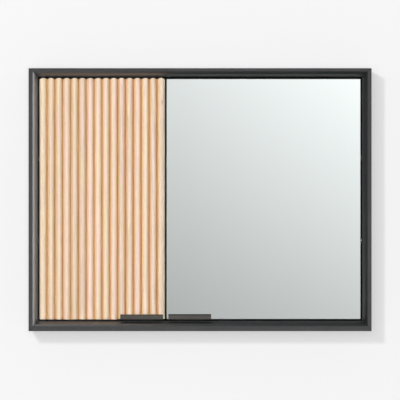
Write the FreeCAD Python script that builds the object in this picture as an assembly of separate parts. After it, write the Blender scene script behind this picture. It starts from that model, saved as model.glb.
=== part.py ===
import FreeCAD
import Part
import math
import os

# Mirrored wall cabinet with a reeded oak door on the left and a mirror door on the right.
# Origin: centre of the wall face. X runs right, Y runs into the wall, Z runs up. Millimetres.

# Overall sizes
cabinet_width = 762.0
cabinet_height = 584.2
cabinet_depth = 140.0

# Frame moulding round the doors
frame_side_flat = 9.0
frame_top_flat = 7.0
frame_bottom_flat = 11.2
frame_step = 1.0
frame_slope_width = 9.2
frame_slope_drop = 16.0
frame_slope_bulge = 2.0
frame_land = 1.6
frame_edge_break = 0.8

# Doors
door_gap = 3.2
door_recess = 19.0
door_back_clearance = 1.0
core_thickness = 14.0
core_edge_break = 0.6

# Reeded face of the left door
slat_count = 16
slat_pitch = 17.5
slat_joint = 0.2
slat_thickness = 8.0
slat_flank = 2.0
slat_end_round = 0.7

# Mirror of the right door
mirror_thickness = 4.0
mirror_margin = 0.6
mirror_top_margin = 2.4
mirror_arris = 0.6
tape_thickness = 0.8
tape_width = 25.0
tape_margin = 20.0
tape_strips = 4

# Lip pulls
pull_length = 95.0
pull_height = 11.6
pull_thickness = 2.5
pull_standoff = 7.0
pull_reach = 11.0
pull_leg = 1.0
pull_leg_clearance = 0.1
pull_end_inset = 4.4
pull_bend = 0.8
pull_edge_round = 0.5
pull_screw_spacing = 50.0
pull_screw_setback = 6.0

# Case
panel_thickness = 15.0
panel_edge_break = 0.8
divider_thickness = 15.0
back_thickness = 6.0
rebate_width = 8.0
rebate_clearance = 0.3
rail_thickness = 18.0
rail_height = 60.0

# Wall screw holes
wall_hole_radius = 2.75
wall_hole_spacing = 406.4

# Shelves and their pins
shelves_per_bay = 2
shelf_thickness = 6.0
shelf_side_clearance = 1.0
shelf_back_clearance = 2.0
shelf_front_clearance = 2.5
shelf_arris = 0.5
pin_radius = 2.5
pin_depth = 6.5
pin_head_length = 8.0
pin_head_width = 9.0
pin_head_height = 5.0
pin_end_inset = 12.0
pin_bay_offset = 10.0
pin_hole_pitch = 32.0

# Knife hinges
pivot_inset = 17.0
pivot_radius = 2.5
pivot_tail = 3.0
pivot_running_clearance = 0.05
pivot_tail_clearance = 0.5
leaf_length = 44.0
leaf_width = 9.0
leaf_front_wall = 0.5
leaf_thickness = 2.5
washer_thickness = 0.9
washer_play = 0.1
washer_radius = 4.4
washer_bore_clearance = 0.15
leaf_screw_start = 15.0
leaf_screw_spacing = 18.0

# Magnetic catches
catch_width = 16.0
catch_block_length = 12.0
catch_foot_length = 18.0
catch_foot_height = 6.0
catch_rise = 16.0
catch_side_gap = 1.0
catch_gap = 0.4
magnet_border = 2.5
magnet_length = 5.0
strike_thickness = 1.2
strike_border = 1.5
strike_screw_spacing = 7.2
catch_screw_spacing = 8.0

# Screws and dowels
screw_radius = 1.5
screw_head_radius = 2.9
screw_head_height = 1.4
screw_point = 1.5
recess_width = 0.7
recess_depth = 0.9
leaf_screw_length = 11.0
pull_screw_length = 14.0
strike_screw_length = 9.0
catch_screw_length = 14.0
back_screw_length = 16.0
back_screw_pitch = 200.0
dowel_radius = 4.0
dowel_length = 28.0
dowel_seat = 10.0
dowel_pitch = 140.0
dowel_edge = 22.0

# How far apart two coordinates of the same place may be
same_place = 1e-6

V = FreeCAD.Vector
RIGHT = V(1, 0, 0)
BACK = V(0, 1, 0)
UP = V(0, 0, 1)

# Planes from front to back
wall_y = 0.0
front_y = wall_y - cabinet_depth
crest_y = front_y + door_recess
core_front_y = crest_y + slat_thickness
core_back_y = core_front_y + core_thickness
frame_back_y = core_back_y + door_back_clearance
frame_depth = frame_back_y - front_y
back_front_y = wall_y - back_thickness
rail_front_y = back_front_y - rail_thickness
mirror_front_y = core_front_y - tape_thickness - mirror_thickness
pivot_depth = leaf_front_wall + leaf_width / 2
pivot_y = core_front_y + pivot_depth
strike_back_y = core_back_y + strike_thickness
catch_front_y = strike_back_y + catch_gap

# Frame and case outlines
half_width = cabinet_width / 2
half_height = cabinet_height / 2
frame_lip = frame_slope_width + frame_land
open_left = -half_width + frame_side_flat + frame_lip
open_right = -open_left
open_top = half_height - frame_top_flat - frame_lip
open_bottom = -half_height + frame_bottom_flat + frame_lip
inner_left = -half_width + panel_thickness
inner_right = -inner_left
inner_top = half_height - panel_thickness
inner_bottom = -inner_top

# Door outlines
door_top = open_top - door_gap
door_bottom = open_bottom + door_gap
left_door = (open_left + door_gap, open_left + door_gap + slat_count * slat_pitch)
right_door = (left_door[1] + door_gap, open_right - door_gap)
meeting_x = (left_door[1] + right_door[0]) / 2
divider = (meeting_x - divider_thickness / 2, meeting_x + divider_thickness / 2)
left_pivot_x = left_door[0] + pivot_inset
right_pivot_x = right_door[1] - pivot_inset

# Hinge leaves stand out of their mortises so that they and the washer fill the door gap
leaf_proud = (door_gap - washer_thickness - washer_play) / 2
leaf_mortise = leaf_thickness - leaf_proud

# Pull leg is let into the bottom edge of the door, so that facings above it end higher
leg_top = door_bottom + pull_leg
facing_bottom = leg_top + pull_leg_clearance
lip_top = door_bottom + pull_height
lip_back_y = crest_y - pull_standoff
lip_front_y = lip_back_y - pull_thickness

# Shelves stay behind the back corner of a turning door
door_sweep = math.hypot(pivot_inset, core_thickness - pivot_depth)
shelf_front_y = pivot_y + door_sweep + shelf_front_clearance
shelf_back_y = back_front_y - shelf_back_clearance
shelf_step = (inner_top - inner_bottom) / (shelves_per_bay + 1)
shelf_levels = [inner_bottom + shelf_step * (n + 1) for n in range(shelves_per_bay)]
left_bay = (inner_left, divider[0])
right_bay = (divider[1], inner_right)


def box(x, y, z):
    """Block between three pairs of limits."""
    return Part.makeBox(x[1] - x[0], y[1] - y[0], z[1] - z[0], V(x[0], y[0], z[0]))


def rod(start, direction, radius, length):
    """Round bar from a start point."""
    return Part.makeCylinder(radius, length, start, direction)


def prism(points, along):
    """Straight bar whose section is the polygon through the points."""
    return Part.Face(Part.makePolygon(points + points[:1])).extrude(along)


def edges_at(shape, test):
    """Edges of a shape whose every corner passes the test."""
    return [edge for edge in shape.Edges if all(test(corner.Point) for corner in edge.Vertexes)]


def near(a, b):
    """True where two coordinates are the same place."""
    return abs(a - b) < same_place


def spread(low, high, pitch):
    """Evenly spaced places between two limits, about one pitch apart."""
    count = max(2, round((high - low) / pitch) + 1)
    return [low + (high - low) * n / (count - 1) for n in range(count)]


def turned(shape, head, direction):
    """Move a shape made along +Z from the origin to its head point and direction."""
    moved = shape.copy()
    moved.Placement = FreeCAD.Placement(head, FreeCAD.Rotation(UP, direction))
    return moved


def screw_body(head, direction, length):
    """Countersunk screw without its drive recess, from the middle of its head."""
    half_section = [
        V(0, 0, 0),
        V(screw_head_radius, 0, 0),
        V(screw_radius, 0, screw_head_height),
        V(screw_radius, 0, length - screw_point),
        V(0, 0, length),
    ]
    face = Part.Face(Part.makePolygon(half_section + half_section[:1]))
    return turned(face.revolve(V(0, 0, 0), UP, 360), head, direction)


def screw(head, direction, length):
    """Countersunk screw with a cross recess."""
    arm = (-screw_radius, screw_radius)
    slot = (-recess_width / 2, recess_width / 2)
    depth = (0, recess_depth)
    cross = box(arm, slot, depth).fuse(box(slot, arm, depth))
    return screw_body(head, direction, length).cut(turned(cross, head, direction))


def dowel(seat, direction):
    """Dowel across a joint: seat is the joint, the short end goes against the direction."""
    return rod(seat - direction * dowel_seat, direction, dowel_radius, dowel_length)


# Frame

def frame_section(flat, place):
    """Section of a frame member: a flat band, a step, a rounded slope and a land by the door.

    Place turns a distance inward and a distance backward, from the outer front edge, into a point.
    """
    slope_end = flat + frame_slope_width
    inner = slope_end + frame_land
    land_depth = frame_step + frame_slope_drop
    rise = frame_slope_bulge / math.hypot(frame_slope_width, frame_slope_drop)
    crown = place(flat + frame_slope_width / 2 + rise * frame_slope_drop,
                  frame_step + frame_slope_drop / 2 - rise * frame_slope_width)
    slope = Part.Arc(place(flat, frame_step), crown, place(slope_end, land_depth)).toShape()
    rest = Part.makePolygon([
        place(slope_end, land_depth),
        place(inner - frame_edge_break, land_depth),
        place(inner, land_depth + frame_edge_break),
        place(inner, frame_depth),
        place(0, frame_depth),
        place(0, frame_edge_break),
        place(frame_edge_break, 0),
        place(flat, 0),
        place(flat, frame_step),
    ])
    return Part.Face(Part.Wire([slope] + rest.Edges))


def mitre(side, level):
    """Corner line of the frame, from the outer corner over the step to the inner corner."""
    flat = frame_top_flat if level > 0 else frame_bottom_flat
    steps = [(0, 0), (frame_side_flat, flat), (frame_side_flat + frame_lip, flat + frame_lip)]
    return [V(side * (half_width - across), front_y, level * (half_height - down))
            for across, down in steps]


def frame_rail(level):
    """Top or bottom frame member."""
    flat = frame_top_flat if level > 0 else frame_bottom_flat
    section = frame_section(
        flat, lambda inward, back: V(-half_width, front_y + back, level * (half_height - inward)))
    outline = mitre(-1, level) + mitre(1, level)[::-1]
    bar = section.extrude(RIGHT * cabinet_width).common(prism(outline, BACK * frame_depth))
    return bar.cut(dowels + rail_leaves + leaf_seat_screws)


def frame_stile(side):
    """Left or right frame member."""
    section = frame_section(
        frame_side_flat, lambda inward, back: V(side * (half_width - inward), front_y + back, -half_height))
    outline = mitre(side, 1) + mitre(side, -1)[::-1]
    bar = section.extrude(UP * cabinet_height).common(prism(outline, BACK * frame_depth))
    return bar.cut(dowels)


# Case

def dowel_joints():
    """Every dowel: frame to case, case corners, rail ends and divider ends."""
    panel_mid = panel_thickness / 2
    depth_places = [frame_back_y + dowel_edge, rail_front_y - dowel_edge]
    rail_mid_y = (rail_front_y + back_front_y) / 2
    rail_mid_z = inner_top - rail_height / 2
    joints = []
    for side in (-1, 1):
        side_x = side * (half_width - panel_mid)
        for z in spread(open_bottom + dowel_edge, open_top - dowel_edge, dowel_pitch):
            joints.append(dowel(V(side_x, frame_back_y, z), BACK))
        for level in (-1, 1):
            level_z = level * (half_height - panel_mid)
            places = [(y, level_z) for y in depth_places] + [(rail_mid_y, level * rail_mid_z)]
            joints += [dowel(V(side * inner_right, y, z), RIGHT * -side) for y, z in places]
    for level in (-1, 1):
        level_z = level * (half_height - panel_mid)
        for x in spread(left_pivot_x + leaf_length + dowel_edge, right_pivot_x - leaf_length - dowel_edge,
                        dowel_pitch):
            joints.append(dowel(V(x, frame_back_y, level_z), BACK))
        for y in depth_places:
            joints.append(dowel(V(meeting_x, y, level * inner_top), UP * -level))
    return joints


def back_screw_heads():
    """Places of the back panel's screws, along the middle of the rebate."""
    side_x = inner_right + rebate_width / 2
    level_z = inner_top + rebate_width / 2
    side_reach = inner_top - rail_height - dowel_edge
    level_reach = inner_right - dowel_edge
    heads = []
    for sign in (-1, 1):
        heads += [V(sign * side_x, wall_y, z) for z in spread(-side_reach, side_reach, back_screw_pitch)]
        heads += [V(x, wall_y, sign * level_z) for x in spread(-level_reach, level_reach, back_screw_pitch)]
    return heads


def back_rebate():
    """Space cut from the back edges of the case for the back panel."""
    reach_x = inner_right + rebate_width
    reach_z = inner_top + rebate_width
    return box((-reach_x, reach_x), (back_front_y, wall_y), (-reach_z, reach_z))


def broken_back_edge(panel, test):
    """Take the sharpness off a panel's outer back edge."""
    return panel.makeChamfer(panel_edge_break, edges_at(panel, lambda p: near(p.y, wall_y) and test(p)))


def case_side(side):
    """Left or right case panel, full height, bored for shelf pins."""
    limits = sorted((side * half_width, side * inner_right))
    panel = box(limits, (frame_back_y, wall_y), (-half_height, half_height))
    panel = broken_back_edge(panel, lambda p: near(p.x, side * half_width))
    return panel.cut(dowels + pin_holes + back_screws + [back_rebate()])


def case_level(level):
    """Top or bottom case panel, between the sides."""
    limits = sorted((level * half_height, level * inner_top))
    panel = box((inner_left, inner_right), (frame_back_y, wall_y), limits)
    panel = broken_back_edge(panel, lambda p: near(p.z, level * half_height))
    return panel.cut(dowels + back_screws + catch_screws + [back_rebate()])


def hanging_rail_block(level):
    """Plain block of a hanging rail, against the back panel."""
    limits = sorted((level * inner_top, level * (inner_top - rail_height)))
    return box((inner_left, inner_right), (rail_front_y, back_front_y), limits)


def wall_holes():
    """Through holes for the four wall screws, at the middle of the hanging rails."""
    z = inner_top - rail_height / 2
    length = wall_y - rail_front_y
    return [rod(V(across * wall_hole_spacing / 2, rail_front_y, level * z), BACK, wall_hole_radius, length)
            for across in (-1, 1) for level in (-1, 1)]


def hanging_rail(level):
    """Hanging rail with its wall holes."""
    return hanging_rail_block(level).cut(dowels + wall_holes())


def back_panel():
    """Back panel in its rebate, drilled for wall screws and its own screws."""
    reach_x = inner_right + rebate_width - rebate_clearance
    reach_z = inner_top + rebate_width - rebate_clearance
    panel = box((-reach_x, reach_x), (back_front_y, wall_y), (-reach_z, reach_z))
    return panel.cut(back_screws + wall_holes())


def centre_divider():
    """Upright panel behind the meeting gap, notched over the hanging rails."""
    panel = box(divider, (frame_back_y, back_front_y), (inner_bottom, inner_top))
    return panel.cut(dowels + pin_holes + [hanging_rail_block(1), hanging_rail_block(-1)])


# Shelves

def shelf(bay, level):
    """Glass shelf with its front and back edges eased."""
    x = (bay[0] + shelf_side_clearance, bay[1] - shelf_side_clearance)
    plate = box(x, (shelf_front_y, shelf_back_y), (level, level + shelf_thickness))
    long_edges = [edge for edge in plate.Edges if near(edge.Length, x[1] - x[0])]
    return plate.makeChamfer(shelf_arris, long_edges)


def pin_places(bay, inset):
    """Wall plane, inward direction and depth of each column of shelf pins in a bay."""
    columns = (shelf_front_y + inset, shelf_back_y - inset)
    return [(x, RIGHT * inward, y) for x, inward in ((bay[0], 1), (bay[1], -1)) for y in columns]


bay_insets = ((left_bay, pin_end_inset), (right_bay, pin_end_inset + pin_bay_offset))


def shelf_pin(wall_x, inward, y, level):
    """Shelf pin: a round shank in the panel and a flat head under the shelf."""
    axis_z = level - pin_head_height / 2
    shank = rod(V(wall_x, y, axis_z) - inward * pin_depth, inward, pin_radius, pin_depth)
    x = sorted((wall_x, wall_x + inward.x * pin_head_length))
    head = box(x, (y - pin_head_width / 2, y + pin_head_width / 2), (level - pin_head_height, level))
    return shank.fuse(head).removeSplitter()


def all_shelf_pins():
    """One pin at each corner of each shelf."""
    return [shelf_pin(x, inward, y, level)
            for bay, inset in bay_insets
            for x, inward, y in pin_places(bay, inset)
            for level in shelf_levels]


def all_pin_holes():
    """Each pin's own hole, with a spare hole one pitch above and one below it."""
    holes = []
    for bay, inset in bay_insets:
        for x, inward, y in pin_places(bay, inset):
            for level in shelf_levels:
                for step in (-1, 0, 1):
                    z = level - pin_head_height / 2 + step * pin_hole_pitch
                    holes.append(rod(V(x, y, z), inward * -1, pin_radius, pin_depth))
    return holes


# Knife hinges

def leaf_plate(pivot_x, inward, low, high):
    """Flat leaf along a door edge, round about its pivot, between two levels."""
    half = leaf_width / 2
    nose = Part.Arc(V(pivot_x, pivot_y + half, low), V(pivot_x - inward * half, pivot_y, low),
                    V(pivot_x, pivot_y - half, low)).toShape()
    end_x = pivot_x + inward * leaf_length
    sides = Part.makePolygon([V(pivot_x, pivot_y - half, low), V(end_x, pivot_y - half, low),
                              V(end_x, pivot_y + half, low), V(pivot_x, pivot_y + half, low)])
    return Part.Face(Part.Wire([nose] + sides.Edges)).extrude(UP * (high - low))


def rail_leaf_blank(pivot_x, inward, level):
    """Leaf in the frame rail before it is drilled. Level is 1 at the top and -1 at the bottom."""
    face = open_top if level > 0 else open_bottom
    low, high = sorted((face + level * leaf_mortise, face - level * leaf_proud))
    return leaf_plate(pivot_x, inward, low, high)


def door_leaf_blank(pivot_x, inward, level):
    """Leaf in the door edge before it is drilled."""
    edge = door_top if level > 0 else door_bottom
    low, high = sorted((edge + level * leaf_proud, edge - level * leaf_mortise))
    return leaf_plate(pivot_x, inward, low, high)


def pivot_bore(pivot_x, level, clearance):
    """Space for a pin from the rail leaf into the door, wider and longer than the pin by the clearance."""
    start = open_top + leaf_mortise if level > 0 else open_bottom - leaf_mortise
    length = 2 * leaf_mortise + door_gap + pivot_tail + clearance
    return rod(V(pivot_x, pivot_y, start), UP * -level, pivot_radius + clearance, length)


def pivot_pin(pivot_x, level):
    """Fixed pin through the rail leaf, the washer and the door leaf, into the door."""
    return pivot_bore(pivot_x, level, 0)


def hinge_washer(pivot_x, level):
    """Thrust washer on the rail leaf."""
    start = open_top - leaf_proud if level > 0 else open_bottom + leaf_proud
    disc = rod(V(pivot_x, pivot_y, start), UP * -level, washer_radius, washer_thickness)
    return disc.cut(pivot_bore(pivot_x, level, washer_bore_clearance))


def leaf_screw_heads(pivot_x, inward, z):
    """Two screw places along a leaf."""
    return [V(pivot_x + inward * (leaf_screw_start + n * leaf_screw_spacing), pivot_y, z) for n in (0, 1)]


def rail_leaf_screws(make):
    """Screws of all four rail leaves."""
    screws = []
    for pivot_x, inward in hinge_sides:
        for level in (1, -1):
            z = open_top - leaf_proud if level > 0 else open_bottom + leaf_proud
            heads = leaf_screw_heads(pivot_x, inward, z)
            screws += [make(head, UP * level, leaf_screw_length) for head in heads]
    return screws


def rail_leaf(pivot_x, inward, level):
    """Finished rail leaf, with its pin hole and screw holes."""
    blank = rail_leaf_blank(pivot_x, inward, level)
    return blank.cut(leaf_seat_screws + [pivot_pin(pivot_x, level)])


def door_leaf(pivot_x, inward, level, door_screws):
    """Finished door leaf, bored to turn on the pin."""
    blank = door_leaf_blank(pivot_x, inward, level)
    return blank.cut(door_screws + [pivot_bore(pivot_x, level, pivot_running_clearance)])


# Doors

def door_pull_x(door, free_side):
    """Limits of a pull along its door, inset from the free edge."""
    start = door[1] - pull_end_inset if free_side > 0 else door[0] + pull_end_inset
    return sorted((start, start - free_side * pull_length))


def pull(door, free_side):
    """Lip pull: a leg let into the door's bottom edge and an upturned lip in front of the door."""
    x = door_pull_x(door, free_side)
    leg_back_y = core_front_y + pull_reach
    section = [
        V(x[0], lip_front_y, door_bottom),
        V(x[0], leg_back_y, door_bottom),
        V(x[0], leg_back_y, leg_top),
        V(x[0], lip_back_y, leg_top),
        V(x[0], lip_back_y, lip_top),
        V(x[0], lip_front_y, lip_top),
    ]
    bar = prism(section, RIGHT * pull_length)
    bend = edges_at(bar, lambda p: near(p.y, lip_front_y) and near(p.z, door_bottom))
    bar = bar.makeFillet(pull_bend, bend)
    return bar.makeFillet(pull_edge_round, edges_at(bar, lambda p: near(p.z, lip_top)))


def pull_screw_heads(door, free_side):
    """Two screw places under a pull's leg."""
    middle = sum(door_pull_x(door, free_side)) / 2
    y = core_front_y + pull_screw_setback
    return [V(middle + side * pull_screw_spacing / 2, y, door_bottom) for side in (-1, 1)]


def catch_x(free_side):
    """Limits of a catch, beside the divider in the bay of the door with that free side."""
    start = divider[0] - catch_side_gap if free_side > 0 else divider[1] + catch_side_gap
    return sorted((start, start - free_side * catch_width))


def strike_plate_blank(free_side):
    """Steel plate on the door's back, in front of its catch."""
    x = catch_x(free_side)
    z = (door_bottom + strike_border, door_bottom + catch_rise)
    return box((x[0] + strike_border, x[1] - strike_border), (core_back_y, strike_back_y), z)


def strike_screw_heads(free_side):
    """Two screw places on a strike plate."""
    middle_x = sum(catch_x(free_side)) / 2
    middle_z = door_bottom + (strike_border + catch_rise) / 2
    return [V(middle_x, strike_back_y, middle_z + side * strike_screw_spacing / 2) for side in (-1, 1)]


def door_screws(door, free_side, pivot_x, make):
    """Screws of one door: both hinge leaves, the pull and the strike plate."""
    screws = []
    for level, edge in ((1, door_top), (-1, door_bottom)):
        heads = leaf_screw_heads(pivot_x, free_side, edge + level * leaf_proud)
        screws += [make(head, UP * -level, leaf_screw_length) for head in heads]
    screws += [make(head, UP, pull_screw_length) for head in pull_screw_heads(door, free_side)]
    screws += [make(head, BACK * -1, strike_screw_length) for head in strike_screw_heads(free_side)]
    return screws


def door_core(door, free_side, pivot_x, screw_bodies):
    """Door panel behind its facing, cut for hinge leaves, pins, the pull's leg and screws."""
    core = box(door, (core_front_y, core_back_y), (door_bottom, door_top))
    core = core.makeChamfer(core_edge_break, edges_at(core, lambda p: near(p.y, core_back_y)))
    leaves = [door_leaf_blank(pivot_x, free_side, level) for level in (1, -1)]
    bores = [pivot_bore(pivot_x, level, pivot_tail_clearance) for level in (1, -1)]
    return core.cut(leaves + bores + screw_bodies + [pull(door, free_side)])


def slat(number):
    """Half-round slat: a flat back, short flanks and an arched face, with eased ends."""
    left = left_door[0] + number * slat_pitch + slat_joint / 2
    right = left + slat_pitch - slat_joint
    pull_x = door_pull_x(left_door, 1)
    foot = facing_bottom if right > pull_x[0] and left < pull_x[1] else door_bottom
    flank_y = core_front_y - slat_flank
    crown = Part.Arc(V(right, flank_y, foot), V((left + right) / 2, crest_y, foot),
                     V(left, flank_y, foot)).toShape()
    back = Part.makePolygon([V(left, flank_y, foot), V(left, core_front_y, foot),
                             V(right, core_front_y, foot), V(right, flank_y, foot)])
    bar = Part.Face(Part.Wire([crown] + back.Edges)).extrude(UP * (door_top - foot))
    end_arcs = [edge for edge in bar.Edges if isinstance(edge.Curve, Part.Circle)]
    return bar.makeFillet(slat_end_round, end_arcs)


def mirror_glass():
    """Mirror with a small arris round its front."""
    x = (right_door[0] + mirror_margin, right_door[1] - mirror_margin)
    z = (facing_bottom, door_top - mirror_top_margin)
    glass = box(x, (mirror_front_y, mirror_front_y + mirror_thickness), z)
    return glass.makeChamfer(mirror_arris, edges_at(glass, lambda p: near(p.y, mirror_front_y)))


def mirror_tape():
    """Upright strips of bonding tape between the mirror and its panel."""
    half = tape_width / 2
    reach = mirror_margin + tape_margin
    middles = [right_door[0] + reach + half, right_door[1] - reach - half]
    step = (middles[1] - middles[0]) / (tape_strips - 1)
    z = (door_bottom + reach, door_top - mirror_top_margin - tape_margin)
    return [box((middles[0] + n * step - half, middles[0] + n * step + half),
                (core_front_y - tape_thickness, core_front_y), z) for n in range(tape_strips)]


# Catches

def magnet(free_side):
    """Magnet let into the front of a catch."""
    limits = catch_x(free_side)
    x = (limits[0] + magnet_border, limits[1] - magnet_border)
    z = (door_bottom + magnet_border, door_bottom + catch_rise - magnet_border)
    return box(x, (catch_front_y, catch_front_y + magnet_length), z)


def catch_body(free_side):
    """Catch: an upright block that holds the magnet, and a foot on the case bottom."""
    x = catch_x(free_side)
    block_back = catch_front_y + catch_block_length
    foot_back = block_back + catch_foot_length
    foot_top = inner_bottom + catch_foot_height
    top = door_bottom + catch_rise
    section = [
        V(x[0], catch_front_y, inner_bottom),
        V(x[0], foot_back, inner_bottom),
        V(x[0], foot_back, foot_top),
        V(x[0], block_back, foot_top),
        V(x[0], block_back, top),
        V(x[0], catch_front_y, top),
    ]
    return prism(section, RIGHT * catch_width).cut(catch_screws + [magnet(free_side)])


def all_catch_screws(make):
    """Two screws down through the foot of each catch."""
    y = catch_front_y + catch_block_length + catch_foot_length / 2
    z = inner_bottom + catch_foot_height
    screws = []
    for free_side in (1, -1):
        middle = sum(catch_x(free_side)) / 2
        heads = [V(middle + side * catch_screw_spacing / 2, y, z) for side in (-1, 1)]
        screws += [make(head, UP * -1, catch_screw_length) for head in heads]
    return screws


# Fasteners and seats that cut more than one piece
hinge_sides = ((left_pivot_x, 1), (right_pivot_x, -1))
dowels = dowel_joints()
pin_holes = all_pin_holes()
back_screws = [screw_body(head, BACK * -1, back_screw_length) for head in back_screw_heads()]
catch_screws = all_catch_screws(screw_body)
leaf_seat_screws = rail_leaf_screws(screw_body)
rail_leaves = [rail_leaf_blank(pivot_x, inward, level)
               for pivot_x, inward in hinge_sides for level in (1, -1)]
left_screw_bodies = door_screws(left_door, 1, left_pivot_x, screw_body)
right_screw_bodies = door_screws(right_door, -1, right_pivot_x, screw_body)

nodes = {
    "frame_top_rail": frame_rail(1),
    "frame_bottom_rail": frame_rail(-1),
    "frame_left_stile": frame_stile(-1),
    "frame_right_stile": frame_stile(1),
    "case_top_panel": case_level(1),
    "case_bottom_panel": case_level(-1),
    "case_left_panel": case_side(-1),
    "case_right_panel": case_side(1),
    "centre_divider": centre_divider(),
    "back_panel": back_panel(),
    "upper_hanging_rail": hanging_rail(1),
    "lower_hanging_rail": hanging_rail(-1),
    "shelf_pins": Part.makeCompound(all_shelf_pins()),
    "dowels": Part.makeCompound(dowels),
    "back_panel_screws": Part.makeCompound(
        [screw(head, BACK * -1, back_screw_length) for head in back_screw_heads()]),
    "left_catch": catch_body(1),
    "right_catch": catch_body(-1),
    "catch_magnets": Part.makeCompound([magnet(1), magnet(-1)]),
    "catch_screws": Part.makeCompound(all_catch_screws(screw)),
    "rail_leaf_screws": Part.makeCompound(rail_leaf_screws(screw)),
    "hinge_pins": Part.makeCompound(
        [pivot_pin(pivot_x, level) for pivot_x, inward in hinge_sides for level in (1, -1)]),
    "hinge_washers": Part.makeCompound(
        [hinge_washer(pivot_x, level) for pivot_x, inward in hinge_sides for level in (1, -1)]),
    "left_door_core": door_core(left_door, 1, left_pivot_x, left_screw_bodies),
    "left_pull": pull(left_door, 1).cut(left_screw_bodies),
    "left_strike_plate": strike_plate_blank(1).cut(left_screw_bodies),
    "left_door_screws": Part.makeCompound(door_screws(left_door, 1, left_pivot_x, screw)),
    "right_door_core": door_core(right_door, -1, right_pivot_x, right_screw_bodies),
    "mirror_glass": mirror_glass(),
    "mirror_tape": Part.makeCompound(mirror_tape()),
    "right_pull": pull(right_door, -1).cut(right_screw_bodies),
    "right_strike_plate": strike_plate_blank(-1).cut(right_screw_bodies),
    "right_door_screws": Part.makeCompound(door_screws(right_door, -1, right_pivot_x, screw)),
}

for number in range(slat_count):
    nodes[f"slat_{number + 1:02d}"] = slat(number)

for number, level in enumerate(shelf_levels):
    nodes[f"left_shelf_{number + 1}"] = shelf(left_bay, level)
    nodes[f"right_shelf_{number + 1}"] = shelf(right_bay, level)

for hand, (pivot_x, inward), bodies in (("left", hinge_sides[0], left_screw_bodies),
                                        ("right", hinge_sides[1], right_screw_bodies)):
    for place, level in (("upper", 1), ("lower", -1)):
        nodes[f"{hand}_{place}_rail_leaf"] = rail_leaf(pivot_x, inward, level)
        nodes[f"{hand}_{place}_door_leaf"] = door_leaf(pivot_x, inward, level, bodies)

os.makedirs("parts", exist_ok=True)
for name, shape in nodes.items():
    shape.exportStep(f"parts/{name}.step")
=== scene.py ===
"""Dresses the mirrored wall cabinet: a charcoal frame, a reeded oak door and a mirror door.

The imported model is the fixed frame. The frame members, slats and pulls are swept from profiles here,
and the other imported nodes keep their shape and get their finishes. Metres, X right, Y into the wall, Z up.
"""

from __future__ import annotations

import logging
import math
from dataclasses import dataclass, replace
from enum import Enum
from functools import cache

import bmesh
import bpy
import numpy as np
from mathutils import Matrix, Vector


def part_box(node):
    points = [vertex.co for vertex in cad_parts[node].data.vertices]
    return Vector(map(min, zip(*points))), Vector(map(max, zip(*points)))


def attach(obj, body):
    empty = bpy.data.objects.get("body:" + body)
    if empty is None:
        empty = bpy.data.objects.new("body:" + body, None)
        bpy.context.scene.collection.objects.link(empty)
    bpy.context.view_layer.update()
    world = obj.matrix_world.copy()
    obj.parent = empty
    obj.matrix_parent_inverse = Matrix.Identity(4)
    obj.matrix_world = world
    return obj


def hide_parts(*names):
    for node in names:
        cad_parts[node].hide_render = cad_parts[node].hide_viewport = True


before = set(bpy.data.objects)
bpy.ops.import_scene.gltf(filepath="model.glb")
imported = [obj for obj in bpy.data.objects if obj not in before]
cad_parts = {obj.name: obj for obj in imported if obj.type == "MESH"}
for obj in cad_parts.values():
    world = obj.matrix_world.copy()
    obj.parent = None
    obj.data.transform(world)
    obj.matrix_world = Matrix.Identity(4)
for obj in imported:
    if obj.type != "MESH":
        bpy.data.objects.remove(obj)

Colour = tuple[float, float, float]
Point = tuple[float, float, float]
Span = tuple[float, float]
Pieces = list[bpy.types.Object]
Socket = bpy.types.NodeSocket
Feed = Socket | float | tuple

MM = 0.001
SHARP_ANGLE = math.radians(38.0)
# How far from a face its own finish reaches
SKIN = 0.05 * MM
# Start of every piece's name
ANY_PIECE = ""
log = logging.getLogger("cabinet")


class GrainAxis(Enum):
    """Direction that the grain of a board runs in."""

    ACROSS = "across"
    UPRIGHT = "upright"


class FrameSide(Enum):
    """The four frame members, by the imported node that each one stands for."""

    TOP = "frame_top_rail"
    BOTTOM = "frame_bottom_rail"
    LEFT = "frame_left_stile"
    RIGHT = "frame_right_stile"

    @property
    def is_rail(self) -> bool:
        """True for the two members that run across."""
        return self in (FrameSide.TOP, FrameSide.BOTTOM)

    @property
    def sign(self) -> int:
        """Side of the middle that the member lies on, along X for a stile and Z for a rail."""
        return 1 if self in (FrameSide.TOP, FrameSide.RIGHT) else -1


# Node trees

@dataclass(frozen=True)
class Layers:
    """Colour, roughness and relief of one surface, before they reach a shader."""

    colour: Feed
    rough: Feed
    height: Socket | None = None


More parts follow.
